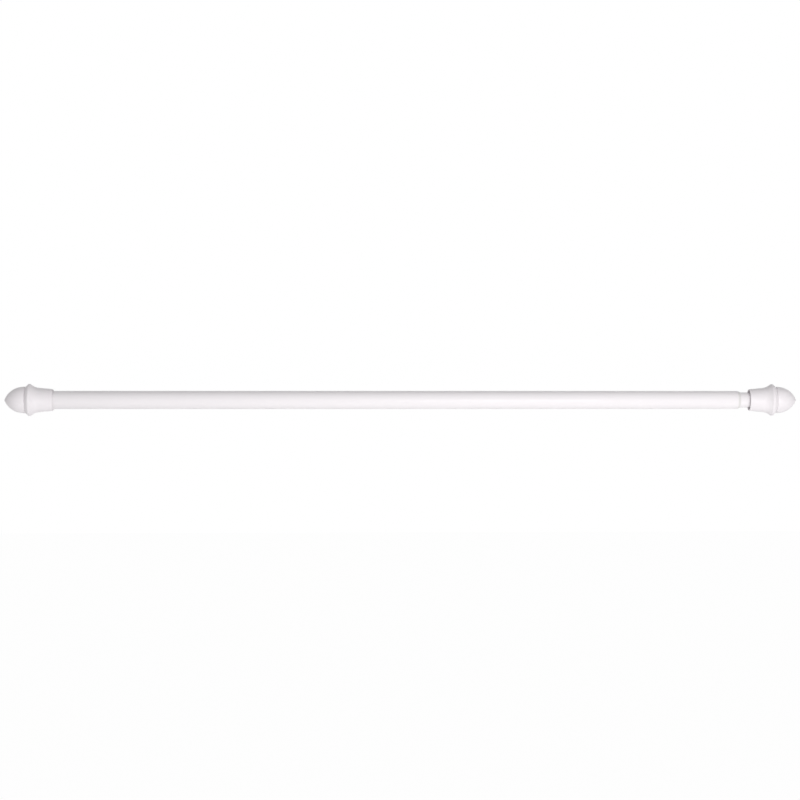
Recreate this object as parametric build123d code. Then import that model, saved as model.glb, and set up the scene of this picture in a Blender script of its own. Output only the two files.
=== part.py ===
"""Telescopic curtain rod with an acorn finial at each end, in millimetres.

The rod lies along X with its origin on the axis, half way along the outer tube. The outer
tube carries the left finial. The inner tube slides and turns in it and carries the right
finial. Each finial is a flared cup that plugs into its tube and an acorn that snaps into
the cup. Every piece is round about the rod's axis, so each is a half section revolved.
"""

from build123d import *
from math import sqrt
import os

# Outer tube, rolled steel cut square at both ends
OUTER_DIAMETER = 19.0
OUTER_WALL = 0.5
OUTER_LENGTH = 732.0

# Inner tube, rolled steel with a groove near its hidden end for the glide ring
TUBE_GAP = 1.0
INNER_WALL = 0.5
INNER_SHORTER = 166.0
GROOVE_DEPTH = 0.6
GROOVE_LENGTH = 10.0
GROOVE_FROM_END = 5.0
GROOVE_BEND = 0.2

# How far the rod is drawn out, from the outer tube's end to the right cup's mouth
SHOWN_GAP = 12.3

# Mouth bush, a nylon sleeve whose flange covers the tube's end, slit into fingers at its back
BUSH_LENGTH = 40.0
BUSH_LAND = 8.0
BUSH_RELIEF = 0.25
BUSH_CHAMFER = 0.3
BUSH_SLITS = 4
BUSH_SLIT_WIDTH = 1.2
BUSH_SLIT_LENGTH = 28.0
FLANGE_STEP = 0.15
NOSE_LENGTH = 2.6
NOSE_COLLAR = 0.3
NOSE_TIP_WALL = 0.2

# Glide ring, a split nylon ring that rides with the inner tube
RING_SPLIT = 1.6
RING_SPLIT_ANGLE = 30.0
RING_CHAMFER = 0.4

# Finial cup: a skirt over the tube's end, a web, a hollow and a recess inside a flared rim
SKIRT_GAP = 0.85
SKIRT_WALL = 1.0
SKIRT_DEPTH = 14.0
SKIRT_LEAD_IN = 0.3
SKIRT_ROUND = 0.7
WEB = 2.3
HOLLOW_DEPTH = 5.0
RECESS_DEPTH = 7.0
RECESS_LEDGE = 1.4
NECK_LENGTH = 14.1
NECK_RISE = 1.3
RIM_RISE = 5.0
RIM_SETBACK = 4.0
RIM_ROUND = 2.3

# Spigot, the ribbed plug inside the skirt that grips the tube's bore
SPIGOT_LENGTH = 12.0
SPIGOT_WALL = 1.6
SPIGOT_CHAMFER = 1.0
SPIGOT_RIBS = 6
SPIGOT_RIB_WIDTH = 1.4
SPIGOT_RIB_HEIGHT = 0.45

# Acorn, a moulded shell with a plug ring that snaps into the cup
ACORN_RISE = 1.2
ACORN_LENGTH = 22.1
ACORN_SHOULDER = 2.0
ACORN_WALL = 1.8
ACORN_ROUND = 0.2
NIB_RADIUS = 0.4
CORE_TIP_RADIUS = 1.5
PLUG_SHOULDER = 1.55
PLUG_WALL = 1.55
PLUG_LENGTH = 6.0
REVEAL_WIDTH = 0.4
REVEAL_DEPTH = 0.8
SNAP_HEIGHT = 0.3
SNAP_WIDTH = 1.2
SNAP_FROM_SHOULDER = 3.5

# Clearances
RUNNING = 0.06
SEAT = 0.05
END_PLAY = 0.1
GRIP = 0.03

# Radii that follow from the sizes above
OUTER_RADIUS = OUTER_DIAMETER / 2
OUTER_BORE = OUTER_RADIUS - OUTER_WALL
INNER_RADIUS = OUTER_BORE - TUBE_GAP
INNER_BORE = INNER_RADIUS - INNER_WALL
GROOVE_RADIUS = INNER_RADIUS - GROOVE_DEPTH
SKIRT_BORE = OUTER_RADIUS + SKIRT_GAP
CUP_MOUTH = SKIRT_BORE + SKIRT_WALL
CUP_NECK = CUP_MOUTH + NECK_RISE
ACORN_RADIUS = CUP_NECK + ACORN_RISE
PLUG_RADIUS = ACORN_RADIUS - PLUG_SHOULDER

# Places along X that follow from the sizes above
CUP_LENGTH = SKIRT_DEPTH + WEB + HOLLOW_DEPTH + RECESS_DEPTH
OUTER_RIGHT_X = OUTER_LENGTH / 2
OUTER_LEFT_X = -OUTER_LENGTH / 2
LEFT_CUP_X = OUTER_LEFT_X + SKIRT_DEPTH
RIGHT_CUP_X = OUTER_RIGHT_X + SHOWN_GAP
INNER_RIGHT_X = RIGHT_CUP_X + SKIRT_DEPTH
INNER_LEFT_X = INNER_RIGHT_X - OUTER_LENGTH + INNER_SHORTER
GROOVE_X = INNER_LEFT_X + GROOVE_FROM_END
BUSH_BACK_X = OUTER_RIGHT_X - BUSH_LENGTH


def turned(outline, rounds=()):
    """A solid of revolution about X. The outline bounds its half section, drawn as (x, radius).

    rounds holds a point at each corner to round, with its radius.
    """
    section = make_face(outline.edges())
    for (x, height), radius in rounds:
        section = fillet(section.vertices().sort_by_distance((x, height, 0))[0], radius)
    return revolve(Plane.XZ * section, Axis.X)


def rolled(path, wall):
    """A tube about X, of one sheet thickness, whose outer face follows a path."""
    return turned(offset(path, wall, side=Side.RIGHT, closed=True))


def around(count, solid):
    """Copies of a solid, spaced evenly about X."""
    return [Rot(360 * i / count, 0, 0) * solid for i in range(count)]


def outer_tube():
    """The outer tube, cut square at both ends."""
    return rolled(Line((OUTER_LEFT_X, OUTER_RADIUS), (OUTER_RIGHT_X, OUTER_RADIUS)), OUTER_WALL)


def inner_tube():
    """The inner tube, with the groove that was rolled into it near its hidden end."""
    groove_end = GROOVE_X + GROOVE_LENGTH
    shoulder_bend = GROOVE_BEND + INNER_WALL
    path = FilletPolyline(
        (INNER_LEFT_X, INNER_RADIUS),
        (GROOVE_X - GROOVE_DEPTH, INNER_RADIUS),
        (GROOVE_X, GROOVE_RADIUS),
        (groove_end, GROOVE_RADIUS),
        (groove_end + GROOVE_DEPTH, INNER_RADIUS),
        (INNER_RIGHT_X, INNER_RADIUS),
        radius=[shoulder_bend, GROOVE_BEND, GROOVE_BEND, shoulder_bend],
    )
    return rolled(path, INNER_WALL)


def mouth_bush():
    """The sleeve that guides the inner tube, its flange and nose beyond the outer tube's end."""
    bore, sleeve, flange = INNER_RADIUS + RUNNING, OUTER_BORE - SEAT, OUTER_RADIUS - FLANGE_STEP
    relief = bore + BUSH_RELIEF
    nose_tip = OUTER_RIGHT_X + NOSE_LENGTH
    front_land, back_land = nose_tip - BUSH_LAND, BUSH_BACK_X + BUSH_LAND
    outline = Polyline(
        (BUSH_BACK_X, bore),
        (BUSH_BACK_X, sleeve - BUSH_CHAMFER),
        (BUSH_BACK_X + BUSH_CHAMFER, sleeve),
        (OUTER_RIGHT_X, sleeve),
        (OUTER_RIGHT_X, flange),
        (OUTER_RIGHT_X + NOSE_COLLAR, flange),
        (nose_tip, bore + NOSE_TIP_WALL),
        (nose_tip, bore),
        (front_land, bore),
        (front_land - BUSH_RELIEF, relief),
        (back_land + BUSH_RELIEF, relief),
        (back_land, bore),
        close=True,
    )
    slit = Pos(BUSH_BACK_X, 0, OUTER_BORE / 2) * Box(
        2 * BUSH_SLIT_LENGTH, BUSH_SLIT_WIDTH, OUTER_BORE
    )
    return turned(outline) - around(BUSH_SLITS, slit)


def glide_ring():
    """The split ring in the inner tube's groove, which slides along the outer tube's bore."""
    left, right = GROOVE_X + END_PLAY, GROOVE_X + GROOVE_LENGTH - END_PLAY
    inside, outside = GROOVE_RADIUS + RUNNING, OUTER_BORE - RUNNING
    outline = Polyline(
        (left, inside),
        (left, outside - RING_CHAMFER),
        (left + RING_CHAMFER, outside),
        (right - RING_CHAMFER, outside),
        (right, outside - RING_CHAMFER),
        (right, inside),
        close=True,
    )
    split = Rot(0, 0, RING_SPLIT_ANGLE) * Box(2 * GROOVE_LENGTH, RING_SPLIT, OUTER_BORE)
    return turned(outline) - Pos((left + right) / 2, 0, -OUTER_BORE / 2) * split


def spigot_ribs(tube_bore):
    """The ribs along a spigot that grip a tube's bore, each with a lead-in at its tip."""
    root, crest = tube_bore - SPIGOT_RIB_HEIGHT, tube_bore - GRIP
    foot = root - SPIGOT_WALL / 2
    start = SKIRT_DEPTH - SPIGOT_LENGTH + 2 * SPIGOT_CHAMFER
    outline = Polyline(
        (start, foot),
        (start, root),
        (start + SPIGOT_CHAMFER, crest),
        (SKIRT_DEPTH, crest),
        (SKIRT_DEPTH, foot),
        close=True,
    )
    slab = Pos(0, 0, OUTER_BORE / 2) * Box(3 * SKIRT_DEPTH, SPIGOT_RIB_WIDTH, OUTER_BORE)
    return around(SPIGOT_RIBS, turned(outline) & slab)


def finial_cup(tube_bore):
    """The flared cup, with its mouth at X zero and its rim towards +X.

    tube_bore is the bore radius of the tube that its spigot plugs into.
    """
    neck, rim = (NECK_LENGTH, CUP_NECK), (CUP_LENGTH - RIM_SETBACK, CUP_NECK + RIM_RISE)
    recess = PLUG_RADIUS + SEAT
    hollow = recess - RECESS_LEDGE
    snap_groove = recess + SNAP_HEIGHT
    snap_front = CUP_LENGTH - SNAP_FROM_SHOULDER + SNAP_WIDTH / 2
    snap_back = snap_front - SNAP_WIDTH
    spigot = tube_bore - SPIGOT_RIB_HEIGHT
    core = spigot - SPIGOT_WALL
    spigot_tip = SKIRT_DEPTH - SPIGOT_LENGTH
    spigot_floor = spigot_tip + SPIGOT_WALL
    taper = Line((0, CUP_MOUTH), neck)
    flare = TangentArc(neck, rim, tangent=taper % 1)
    inside = Polyline(
        rim,
        (CUP_LENGTH, ACORN_RADIUS),
        (CUP_LENGTH, recess),
        (snap_front, recess),
        (snap_front - SNAP_HEIGHT, snap_groove),
        (snap_back + SNAP_HEIGHT, snap_groove),
        (snap_back, recess),
        (CUP_LENGTH - RECESS_DEPTH, recess),
        (CUP_LENGTH - RECESS_DEPTH, hollow),
        (SKIRT_DEPTH + WEB, hollow),
        (SKIRT_DEPTH + WEB, core),
        (spigot_floor, core),
        (spigot_floor, 0),
        (spigot_tip, 0),
        (spigot_tip, spigot - SPIGOT_CHAMFER),
        (spigot_tip + SPIGOT_CHAMFER, spigot),
        (SKIRT_DEPTH, spigot),
        (SKIRT_DEPTH, SKIRT_BORE),
        (SKIRT_LEAD_IN, SKIRT_BORE),
        (0, SKIRT_BORE + SKIRT_LEAD_IN),
        (0, CUP_MOUTH),
    )
    cup = turned(taper + flare + inside, [((0, CUP_MOUTH), SKIRT_ROUND), (rim, RIM_ROUND)])
    return cup + spigot_ribs(tube_bore)


def finial_acorn():
    """The acorn, with its shoulder at X zero, its plug ring behind and its tip towards +X."""
    core = PLUG_RADIUS - PLUG_WALL
    groove = ACORN_RADIUS - REVEAL_DEPTH
    bead = PLUG_RADIUS + SNAP_HEIGHT
    bead_front = -SNAP_FROM_SHOULDER + SNAP_WIDTH / 2 - SEAT
    bead_back = -SNAP_FROM_SHOULDER - SNAP_WIDTH / 2 + SEAT
    curve_start = (ACORN_SHOULDER, ACORN_RADIUS)
    # The arc that leaves the shoulder level and would meet the axis at the acorn's length
    outer_curve = (ACORN_LENGTH - ACORN_SHOULDER) ** 2 / ACORN_RADIUS / 2 + ACORN_RADIUS / 2
    inner_curve = outer_curve - ACORN_WALL
    centre_height = ACORN_RADIUS - outer_curve

    def on_curve(radius, height):
        """The point at a height on the arc of a radius about the outline's centre."""
        return ACORN_SHOULDER + sqrt(radius**2 - (height - centre_height) ** 2), height

    nib_foot = on_curve(outer_curve, NIB_RADIUS)
    core_end, core_tip = on_curve(inner_curve, core), on_curve(inner_curve, CORE_TIP_RADIUS)
    plug = Polyline(
        core_end,
        (-PLUG_LENGTH, core),
        (-PLUG_LENGTH, PLUG_RADIUS - SNAP_HEIGHT),
        (-PLUG_LENGTH + SNAP_HEIGHT, PLUG_RADIUS),
        (bead_back, PLUG_RADIUS),
        (bead_back + SNAP_HEIGHT, bead),
        (bead_front - SNAP_HEIGHT, bead),
        (bead_front, PLUG_RADIUS),
        (0, PLUG_RADIUS),
        (0, groove),
        (REVEAL_WIDTH, groove),
        (REVEAL_WIDTH, ACORN_RADIUS),
        curve_start,
    )
    dome = RadiusArc(curve_start, nib_foot, outer_curve)
    nib = CenterArc((nib_foot[0], 0), NIB_RADIUS, 0, 90)
    ceiling = Polyline((nib_foot[0] + NIB_RADIUS, 0), (core_tip[0], 0), core_tip)
    ceiling_curve = RadiusArc(core_end, core_tip, inner_curve)
    outline = plug + dome + nib + ceiling + ceiling_curve
    return turned(outline, [((REVEAL_WIDTH, ACORN_RADIUS), ACORN_ROUND)])


def build():
    """Every piece where it stands, by its node's name."""
    at_left = Location((LEFT_CUP_X, 0, 0), (0, 0, 180))
    at_right = Location((RIGHT_CUP_X, 0, 0))
    on_cup = Location((CUP_LENGTH, 0, 0))
    return {
        "outer_tube": outer_tube(),
        "mouth_bush": mouth_bush(),
        "left_cup": at_left * finial_cup(OUTER_BORE),
        "left_acorn": at_left * on_cup * finial_acorn(),
        "glide_ring": glide_ring(),
        "inner_tube": inner_tube(),
        "right_cup": at_right * finial_cup(INNER_BORE),
        "right_acorn": at_right * on_cup * finial_acorn(),
    }


def main():
    """Writes one STEP file per piece."""
    os.makedirs("parts", exist_ok=True)
    for name, solid in build().items():
        export_step(solid, f"parts/{name}.step")


main()
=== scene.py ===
"""Studio scene of a white telescopic curtain rod with an acorn finial at each end.

The rod lies along X, level with the camera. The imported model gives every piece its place.
The two tubes are turned again here with smoother walls, and every piece gets its finish.
"""

from __future__ import annotations

import logging
import math
from dataclasses import dataclass
from enum import Enum
from typing import Any, Sequence

import bpy
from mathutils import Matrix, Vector

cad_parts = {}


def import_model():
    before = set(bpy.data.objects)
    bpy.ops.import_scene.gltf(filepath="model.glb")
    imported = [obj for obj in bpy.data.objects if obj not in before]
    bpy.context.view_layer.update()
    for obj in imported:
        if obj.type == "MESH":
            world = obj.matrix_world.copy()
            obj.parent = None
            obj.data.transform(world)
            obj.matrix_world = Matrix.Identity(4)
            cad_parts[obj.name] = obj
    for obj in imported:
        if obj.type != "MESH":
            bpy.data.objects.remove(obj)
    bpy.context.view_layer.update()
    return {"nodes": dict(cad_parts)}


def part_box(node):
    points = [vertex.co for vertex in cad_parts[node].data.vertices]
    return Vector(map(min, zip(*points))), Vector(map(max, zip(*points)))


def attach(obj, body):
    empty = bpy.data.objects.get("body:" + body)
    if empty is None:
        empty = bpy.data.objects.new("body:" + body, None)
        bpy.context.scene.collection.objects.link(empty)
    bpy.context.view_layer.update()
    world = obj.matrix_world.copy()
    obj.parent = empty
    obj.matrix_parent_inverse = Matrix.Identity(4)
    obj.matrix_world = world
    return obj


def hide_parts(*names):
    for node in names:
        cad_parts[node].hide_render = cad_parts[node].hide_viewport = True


LOG = logging.getLogger("curtain_rod")
MM = 0.001
WHITE = (1.0, 1.0, 1.0, 1.0)

Station = tuple[float, float]
Colour = tuple[float, float, float, float]


class Body(Enum):
    """The bodies of the rod that a piece can ride on."""

    OUTER = "outer"
    INNER = "inner"


class Slot(Enum):
    """The material slots of the rod's finishes."""

    TUBE = "tube_enamel"
    FINIAL = "finial_plastic"
    NYLON = "nylon"


def link(tree: bpy.types.NodeTree, source: Any, target: Any) -> None:
    """Joins an output socket to an input socket.

    Args:
        tree: the node tree that holds both.
        source: the output socket.
        target: the input socket.
    """
    tree.links.new(source, target)


@dataclass
class Lathe:
    """Turns round pieces about the rod's axis out of rings."""

    segments: int = 128
    smooth_angle: float = math.radians(30)
    merge_distance: float = 0.001 * MM

    def turn(self, name: str, stations: Sequence[Station]) -> bpy.types.Object:
        """Models a closed round wall by drawing one ring through a list of stations.

        Args:
            name: the new piece's name.
            stations: place along X and radius of each ring, in metres, once round the section.

        Returns:
            The finished piece, with its place in its mesh.
        """
        x, radius = stations[0]
        bpy.ops.object.select_all(action="DESELECT")
        bpy.ops.mesh.primitive_circle_add(
            vertices=self.segments,
            radius=radius,
            fill_type="NOTHING",
            location=(x, 0, 0),
            rotation=(0, math.pi / 2, 0),
        )
        piece = bpy.context.active_object
        piece.name = name
        bpy.ops.object.transform_apply(location=True, rotation=True, scale=True)
        bpy.ops.object.mode_set(mode="EDIT")
        for next_x, next_radius in [*stations[1:], stations[0]]:
            move = {"value": (next_x - x, 0, 0)}
            bpy.ops.mesh.extrude_edges_move(TRANSFORM_OT_translate=move)
            grow = next_radius / radius
            bpy.ops.transform.resize(value=(1, grow, grow), center_override=(next_x, 0, 0))
            x, radius = next_x, next_radius
        bpy.ops.mesh.select_all(action="SELECT")
        bpy.ops.mesh.remove_doubles(threshold=self.merge_distance)
        bpy.ops.mesh.normals_make_consistent(inside=False)
        bpy.ops.object.mode_set(mode="OBJECT")
        bpy.ops.object.shade_smooth_by_angle(angle=self.smooth_angle)
        return piece


@dataclass
class ReliefGroup:
    """Node group for a moulded or coated surface: its fine relief and its slow drift."""

    name: str = "surface_relief"
    grain_detail: float = 2.0
    drift_detail: float = 3.0
    marks_detail: float = 5.0
    marks_roughness: float = 0.65
    marks_per_drift: float = 7.0

    def build(self) -> bpy.types.ShaderNodeTree:
        """Makes the group, or returns the one that is there.

        Returns:
            The group. Height is the fine grain, Drift the slow change of tint, and Marks the
            patches of more and less gloss, which are smaller than the drift.
        """
        tree = bpy.data.node_groups.get(self.name)
        if tree:
            return tree
        tree = bpy.data.node_groups.new(self.name, "ShaderNodeTree")
        face = tree.interface
        face.new_socket(name="Grain Scale", in_out="INPUT", socket_type="NodeSocketFloat")
        face.new_socket(name="Drift Scale", in_out="INPUT", socket_type="NodeSocketFloat")
        face.new_socket(name="Height", in_out="OUTPUT", socket_type="NodeSocketFloat")
        face.new_socket(name="Drift", in_out="OUTPUT", socket_type="NodeSocketFloat")
        face.new_socket(name="Marks", in_out="OUTPUT", socket_type="NodeSocketFloat")
        start = tree.nodes.new("NodeGroupInput")
        end = tree.nodes.new("NodeGroupOutput")
        place = tree.nodes.new("ShaderNodeTexCoord")
        grain = tree.nodes.new("ShaderNodeTexNoise")
        grain.inputs["Detail"].default_value = self.grain_detail
        drift = tree.nodes.new("ShaderNodeTexNoise")
        drift.inputs["Detail"].default_value = self.drift_detail
        marks = tree.nodes.new("ShaderNodeTexNoise")
        marks.inputs["Detail"].default_value = self.marks_detail
        marks.inputs["Roughness"].default_value = self.marks_roughness
        finer = tree.nodes.new("ShaderNodeMath")
        finer.operation = "MULTIPLY"
        finer.inputs[1].default_value = self.marks_per_drift
        for noise in (grain, drift, marks):
            link(tree, place.outputs["Object"], noise.inputs["Vector"])
        link(tree, start.outputs["Grain Scale"], grain.inputs["Scale"])
        link(tree, start.outputs["Drift Scale"], drift.inputs["Scale"])
        link(tree, start.outputs["Drift Scale"], finer.inputs[0])
        link(tree, finer.outputs["Value"], marks.inputs["Scale"])
        link(tree, grain.outputs["Fac"], end.inputs["Height"])
        link(tree, drift.outputs["Fac"], end.inputs["Drift"])
        link(tree, marks.outputs["Fac"], end.inputs["Marks"])
        return tree


@dataclass(frozen=True)
class Finish:
    """A finish of the rod: its two close tints, its gloss and the relief of its surface."""

    name: str
    slot: Slot
    tint: Colour
    shade: Colour
    roughness: float
    roughness_swing: float
    coat: float
    coat_roughness: float
    grain_scale: float
    grain_depth: float
    drift_scale: float
    ior: float = 1.42

    def build(self) -> bpy.types.Material:
        """Makes the material.

        Returns:
            A procedural material on Object coordinates.
        """
        material = bpy.data.materials.new(self.name)
        material.use_nodes = True
        tree = material.node_tree
        surface = tree.nodes["Principled BSDF"]
        relief = tree.nodes.new("ShaderNodeGroup")
        relief.node_tree = ReliefGroup().build()
        relief.inputs["Grain Scale"].default_value = self.grain_scale
        relief.inputs["Drift Scale"].default_value = self.drift_scale
        colour = tree.nodes.new("ShaderNodeMix")
        colour.data_type = "RGBA"
        colour.inputs["A"].default_value = self.shade
        colour.inputs["B"].default_value = self.tint
        gloss = tree.nodes.new("ShaderNodeMapRange")
        gloss.inputs["To Min"].default_value = self.roughness - self.roughness_swing
        gloss.inputs["To Max"].default_value = self.roughness + self.roughness_swing
        bump = tree.nodes.new("ShaderNodeBump")
        bump.inputs["Distance"].default_value = self.grain_depth
        link(tree, relief.outputs["Drift"], colour.inputs["Factor"])
        link(tree, colour.outputs["Result"], surface.inputs["Base Color"])
        link(tree, relief.outputs["Marks"], gloss.inputs["Value"])
        link(tree, gloss.outputs["Result"], surface.inputs["Roughness"])
        link(tree, relief.outputs["Height"], bump.inputs["Height"])
        link(tree, bump.outputs["Normal"], surface.inputs["Normal"])
        surface.inputs["IOR"].default_value = self.ior
        surface.inputs["Coat Weight"].default_value = self.coat
        surface.inputs["Coat Roughness"].default_value = self.coat_roughness
        return material


TUBE_ENAMEL = Finish(
    name="white_enamel",
    slot=Slot.TUBE,
    tint=(0.868, 0.836, 0.854, 1.0),
    shade=(0.852, 0.818, 0.838, 1.0),
    roughness=0.38,
    roughness_swing=0.05,
    coat=0.32,
    coat_roughness=0.04,
    grain_scale=700.0,
    grain_depth=0.004 * MM,
    drift_scale=14.0,
)
FINIAL_PLASTIC = Finish(
    name="white_gloss_plastic",
    slot=Slot.FINIAL,
    tint=(0.850, 0.814, 0.836, 1.0),
    shade=(0.825, 0.787, 0.810, 1.0),
    roughness=0.32,
    roughness_swing=0.06,
    coat=0.08,
    coat_roughness=0.10,
    grain_scale=420.0,
    grain_depth=0.006 * MM,
    drift_scale=40.0,
)
BUSH_NYLON = Finish(
    name="natural_nylon",
    slot=Slot.NYLON,
    tint=(0.765, 0.748, 0.742, 1.0),
    shade=(0.735, 0.716, 0.708, 1.0),
    roughness=0.50,
    roughness_swing=0.06,
    coat=0.0,
    coat_roughness=0.2,
    grain_scale=600.0,
    grain_depth=0.01 * MM,
    drift_scale=60.0,
)


def dress(nodes: Sequence[bpy.types.Object], finish: Finish) -> None:
    """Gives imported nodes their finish, in every material slot that they have.

    Args:
        nodes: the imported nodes' objects.
        finish: the finish that they share.
    """
    material = finish.build()
    for node in nodes:
        for slot in node.material_slots:
            slot.material = material
        LOG.info("%s, %s, is finished in %s", node.name, finish.slot.value, material.name)


@dataclass
class Tubes:
    """The two steel tubes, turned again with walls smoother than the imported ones."""

    lathe: Lathe
    wall: float = 0.5 * MM
    edge_round: float = 0.18 * MM
    edge_middle: float = 0.3
    groove_depth: float = 0.6 * MM
    groove_bend: float = 0.25 * MM
    bend_along: float = 0.7
    bend_down: float = 0.4
    ring_play: float = 0.1 * MM

    def cut_end(self, x: float, radius: float, inwards: int) -> list[Station]:
        """Stations round one square-cut end of a tube, its edges eased by the enamel.

        Args:
            x: where the end is.
            radius: the tube's outer radius.
            inwards: 1 where the tube lies towards +X of the end, and -1 where towards -X.

        Returns:
            The stations from the outer face to the bore, or from the bore out if inwards is 1.
        """
        bore, ease = radius - self.wall, self.edge_round
        middle = ease * self.edge_middle
        faces = [
            (x + inwards * ease, radius),
            (x + inwards * middle, radius - middle),
            (x, radius - ease),
            (x, bore + ease),
            (x + inwards * middle, bore + middle),
            (x + inwards * ease, bore),
        ]
        return faces[::-1] if inwards > 0 else faces

    def outer(self) -> bpy.types.Object:
        """The outer tube, cut square at both ends.

        Returns:
            The finished tube.
        """
        low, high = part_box("outer_tube")
        stations = self.cut_end(low.x, high.z, 1) + self.cut_end(high.x, high.z, -1)
        return self.lathe.turn("outer_tube_wall", stations)

    def groove(self, radius: float) -> list[Station]:
        """Stations down into the glide ring's groove and out of it, along +X.

        Args:
            radius: the radius of the face that is followed, the outer one or the bore.

        Returns:
            The stations, in order.
        """
        ring_low, ring_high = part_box("glide_ring")
        start, end = ring_low.x - self.ring_play, ring_high.x + self.ring_play
        depth, bend = self.groove_depth, self.groove_bend
        along, down = bend * self.bend_along, bend * self.bend_down
        return [
            (start - depth - bend, radius),
            (start - depth + along, radius - down),
            (start - along, radius - depth + down),
            (start + bend, radius - depth),
            (end - bend, radius - depth),
            (end + along, radius - depth + down),
            (end + depth - along, radius - down),
            (end + depth + bend, radius),
        ]

    def inner(self) -> bpy.types.Object:
        """The inner tube, with the groove that carries the glide ring.

        Returns:
            The finished tube.
        """
        low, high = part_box("inner_tube")
        stations = [
            *self.cut_end(low.x, high.z, 1),
            *self.groove(high.z),
            *self.cut_end(high.x, high.z, -1),
            *reversed(self.groove(high.z - self.wall)),
        ]
        return self.lathe.turn("inner_tube_wall", stations)

    def build(self, enamel: Finish) -> None:
        """Makes both tubes, puts them on their bodies and coats them.

        Args:
            enamel: the finish of both tubes.
        """
        material = enamel.build()
        for piece, node, body in (
            (self.outer(), "outer_tube", Body.OUTER),
            (self.inner(), "inner_tube", Body.INNER),
        ):
            piece.data.materials.append(material)
            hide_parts(node)
            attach(piece, body.value)
            LOG.info("%s rides on %s, in %s", piece.name, body.value, material.name)


@dataclass
class Finials:
    """The cups and acorns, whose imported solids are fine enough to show."""

    nodes: dict[str, bpy.types.Object]
    names: Sequence[str] = ("left_cup", "left_acorn", "right_cup", "right_acorn")

    def dress(self, plastic: Finish) -> None:
        """Gives the finials their plastic.

        Args:
            plastic: the finish of all four pieces.
        """
        dress([self.nodes[name] for name in self.names], plastic)


@dataclass
class Nylons:
    """The bush at the outer tube's mouth and the glide ring inside."""

    nodes: dict[str, bpy.types.Object]
    names: Sequence[str] = ("mouth_bush", "glide_ring")

    def dress(self, nylon: Finish) -> None:
        """Gives the guides their nylon.

        Args:
            nylon: the finish of both pieces.
        """
        dress([self.nodes[name] for name in self.names], nylon)


@dataclass(frozen=True)
class Panel:
    """A soft light panel: where it hangs, what it faces, its size and its strength."""

    name: str
    place: tuple[float, float, float]
    aim: tuple[float, float, float]
    width: float
    height: float
    radiance: float
    reflected: bool = True

    def build(self) -> bpy.types.Object:
        """Makes the lamp. Its power gives the panel the stated radiance.

        Returns:
            The lamp's object.
        """
        lamp = bpy.data.lights.new(self.name, "AREA")
        lamp.shape = "RECTANGLE"
        lamp.size = self.width
        lamp.size_y = self.height
        lamp.energy = self.radiance * math.pi * self.width * self.height
        holder = bpy.data.objects.new(self.name, lamp)
        holder.location = self.place
        facing = Vector(self.aim) - Vector(self.place)
        holder.rotation_euler = facing.to_track_quat("-Z", "Y").to_euler()
        holder.visible_camera = False
        holder.visible_glossy = self.reflected
        bpy.context.scene.collection.objects.link(holder)
        return holder


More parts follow.
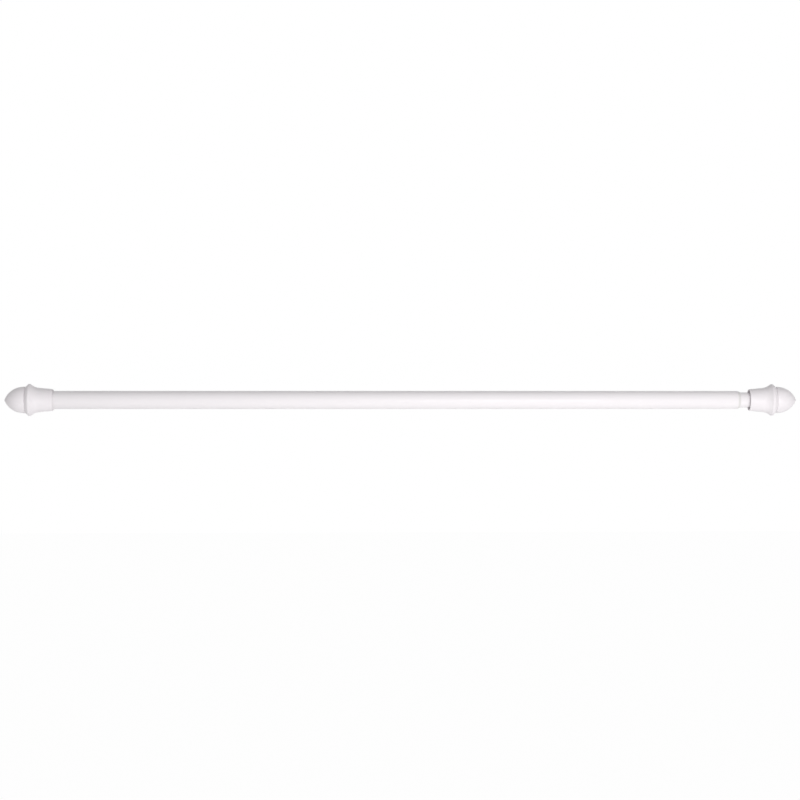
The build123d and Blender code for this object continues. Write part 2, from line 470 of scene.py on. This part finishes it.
@dataclass
class Studio:
    """The camera, the lamps, the pale floor and the white surroundings."""

    camera_x: float = -0.08782
    camera_distance: float = 2.2
    aim_x: float = 0.00955
    lens: float = 94.475
    sensor: float = 36.0
    floor_drop: float = 1.4
    floor_size: float = 40.0
    floor_white: float = 0.98
    floor_tone: Colour = (0.9, 0.9, 0.9, 1.0)
    floor_roughness: float = 0.9
    world_level: float = 0.33
    world_swell: float = 0.24
    panels: Sequence[Panel] = (
        Panel(
            name="key_panel",
            place=(0.56, -2.0, -0.36),
            aim=(0.56, 0.0, 0.0),
            width=0.9,
            height=0.24,
            radiance=7.6,
        ),
        Panel(
            name="front_middle",
            place=(0.33, -2.0, -0.45),
            aim=(0.05, 0.0, 0.0),
            width=0.7,
            height=0.7,
            radiance=12.0,
            reflected=False,
        ),
        Panel(
            name="front_right",
            place=(1.2, -2.0, -0.45),
            aim=(0.36, 0.0, 0.0),
            width=0.7,
            height=0.7,
            radiance=2.8,
            reflected=False,
        ),
        Panel(
            name="back_panel",
            place=(-0.1, 2.2, -0.2),
            aim=(0.0, 0.0, 0.0),
            width=1.6,
            height=0.6,
            radiance=8.0,
            reflected=False,
        ),
    )

    def camera(self) -> None:
        """Places the camera level with the rod, a little to the left of its middle."""
        view = bpy.data.cameras.new("camera")
        view.sensor_width = self.sensor
        view.lens = self.lens
        holder = bpy.data.objects.new("camera", view)
        holder.location = (self.camera_x, -self.camera_distance, 0)
        facing = Vector((self.aim_x - self.camera_x, self.camera_distance, 0))
        holder.rotation_euler = facing.to_track_quat("-Z", "Y").to_euler()
        bpy.context.scene.collection.objects.link(holder)
        bpy.context.scene.camera = holder

    def seen_background(self, tree: bpy.types.NodeTree) -> Any:
        """Adds the test for rays that see the background directly or in a reflection.

        Args:
            tree: the node tree to add to.

        Returns:
            A socket that is 1 for those rays.
        """
        path = tree.nodes.new("ShaderNodeLightPath")
        either = tree.nodes.new("ShaderNodeMath")
        either.operation = "MAXIMUM"
        seen = tree.nodes.new("ShaderNodeMath")
        seen.operation = "MAXIMUM"
        link(tree, path.outputs["Is Camera Ray"], either.inputs[0])
        link(tree, path.outputs["Is Glossy Ray"], either.inputs[1])
        link(tree, either.outputs["Value"], seen.inputs[0])
        link(tree, path.outputs["Is Transmission Ray"], seen.inputs[1])
        return seen.outputs["Value"]

    def surroundings(self) -> None:
        """Makes the world: white where it is seen, and brighter in front and behind elsewhere."""
        world = bpy.data.worlds.new("surroundings")
        world.use_nodes = True
        bpy.context.scene.world = world
        tree = world.node_tree
        tree.nodes.clear()
        out = tree.nodes.new("ShaderNodeOutputWorld")
        mix = tree.nodes.new("ShaderNodeMixShader")
        lit = tree.nodes.new("ShaderNodeBackground")
        white = tree.nodes.new("ShaderNodeBackground")
        place = tree.nodes.new("ShaderNodeTexCoord")
        parts = tree.nodes.new("ShaderNodeSeparateXYZ")
        unsigned = tree.nodes.new("ShaderNodeMath")
        unsigned.operation = "ABSOLUTE"
        level = tree.nodes.new("ShaderNodeMath")
        level.operation = "MULTIPLY_ADD"
        level.inputs[1].default_value = self.world_swell
        level.inputs[2].default_value = self.world_level
        lit.inputs["Color"].default_value = WHITE
        white.inputs["Color"].default_value = WHITE
        link(tree, place.outputs["Generated"], parts.inputs["Vector"])
        link(tree, parts.outputs["Y"], unsigned.inputs[0])
        link(tree, unsigned.outputs["Value"], level.inputs[0])
        link(tree, level.outputs["Value"], lit.inputs["Strength"])
        link(tree, self.seen_background(tree), mix.inputs["Fac"])
        link(tree, lit.outputs["Background"], mix.inputs[1])
        link(tree, white.outputs["Background"], mix.inputs[2])
        link(tree, mix.outputs["Shader"], out.inputs["Surface"])

    def floor(self) -> None:
        """Lays the pale floor, which looks white and still takes the rod's shadow."""
        bpy.ops.object.select_all(action="DESELECT")
        bpy.ops.mesh.primitive_plane_add(size=self.floor_size, location=(0, 0, -self.floor_drop))
        floor = bpy.context.active_object
        floor.name = "floor"
        material = bpy.data.materials.new("pale_floor")
        material.use_nodes = True
        tree = material.node_tree
        surface = tree.nodes["Principled BSDF"]
        surface.inputs["Base Color"].default_value = self.floor_tone
        surface.inputs["Roughness"].default_value = self.floor_roughness
        glow = tree.nodes.new("ShaderNodeEmission")
        share = tree.nodes.new("ShaderNodeMath")
        share.operation = "MULTIPLY"
        share.inputs[1].default_value = self.floor_white
        mix = tree.nodes.new("ShaderNodeMixShader")
        link(tree, self.seen_background(tree), share.inputs[0])
        link(tree, share.outputs["Value"], mix.inputs["Fac"])
        link(tree, surface.outputs["BSDF"], mix.inputs[1])
        link(tree, glow.outputs["Emission"], mix.inputs[2])
        link(tree, mix.outputs["Shader"], tree.nodes["Material Output"].inputs["Surface"])
        floor.data.materials.append(material)

    def build(self) -> None:
        """Sets up everything that the rod is seen in."""
        self.camera()
        self.surroundings()
        self.floor()
        for panel in self.panels:
            panel.build()
        bpy.context.scene.view_settings.view_transform = "Standard"
        LOG.info("the studio is ready")


def main() -> None:
    """Builds the studio and the rod."""
    logging.basicConfig(level=logging.INFO, format="%(name)s: %(message)s")
    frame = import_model()
    Studio().build()
    Tubes(Lathe()).build(TUBE_ENAMEL)
    Finials(frame["nodes"]).dress(FINIAL_PLASTIC)
    Nylons(frame["nodes"]).dress(BUSH_NYLON)


if __name__ == "__main__":
    main()
